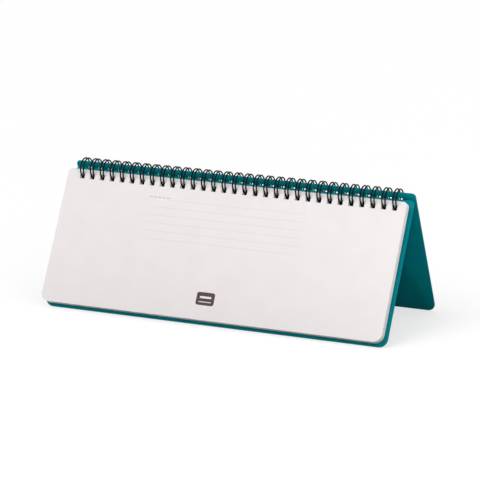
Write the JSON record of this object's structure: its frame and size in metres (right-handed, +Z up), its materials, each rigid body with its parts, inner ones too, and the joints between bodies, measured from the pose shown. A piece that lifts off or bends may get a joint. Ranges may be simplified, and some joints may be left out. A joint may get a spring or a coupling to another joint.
{
  "type": "desk planner",
  "caption": "Wire-bound desk planner standing as a tent: a block of pages leans on one stiff cover, and the other cover is folded over the top as the rear leg.",
  "frame": {"origin": "on the desk, under the middle of the standing tent's box", "axes": "+X along the binding, to the right as seen from the first page; +Y to the rear, towards the folded-over cover; +Z up"},
  "size_m": [0.2782, 0.1058, 0.1047],
  "materials": {
    "page_paper": "matt uncoated paper, faintly warm white",
    "cover_board": "stiff laminated board, deep teal, silk",
    "binding_wire": "black nylon-coated steel wire, semi-gloss"
  },
  "bodies": {
    "root": {"back_cover": "cover_board", "wire_binding": "binding_wire"},
    "pages": {"page_block": "page_paper"},
    "stand": {"front_cover": "cover_board"}
  },
  "joints": [
    {"name": "front_cover_fold", "type": "hinge", "parent": "root", "child": "stand", "pos_m": [0.00045, 0.00279, 0.09651], "axis": [1, 0, 0], "range_deg": [-54.5, 125.4]},
    {"name": "pages_lift", "type": "hinge", "parent": "root", "child": "pages", "pos_m": [0.00045, 0.00279, 0.09651], "axis": [-1, 0, 0], "range_deg": [0, 20]}
  ]
}
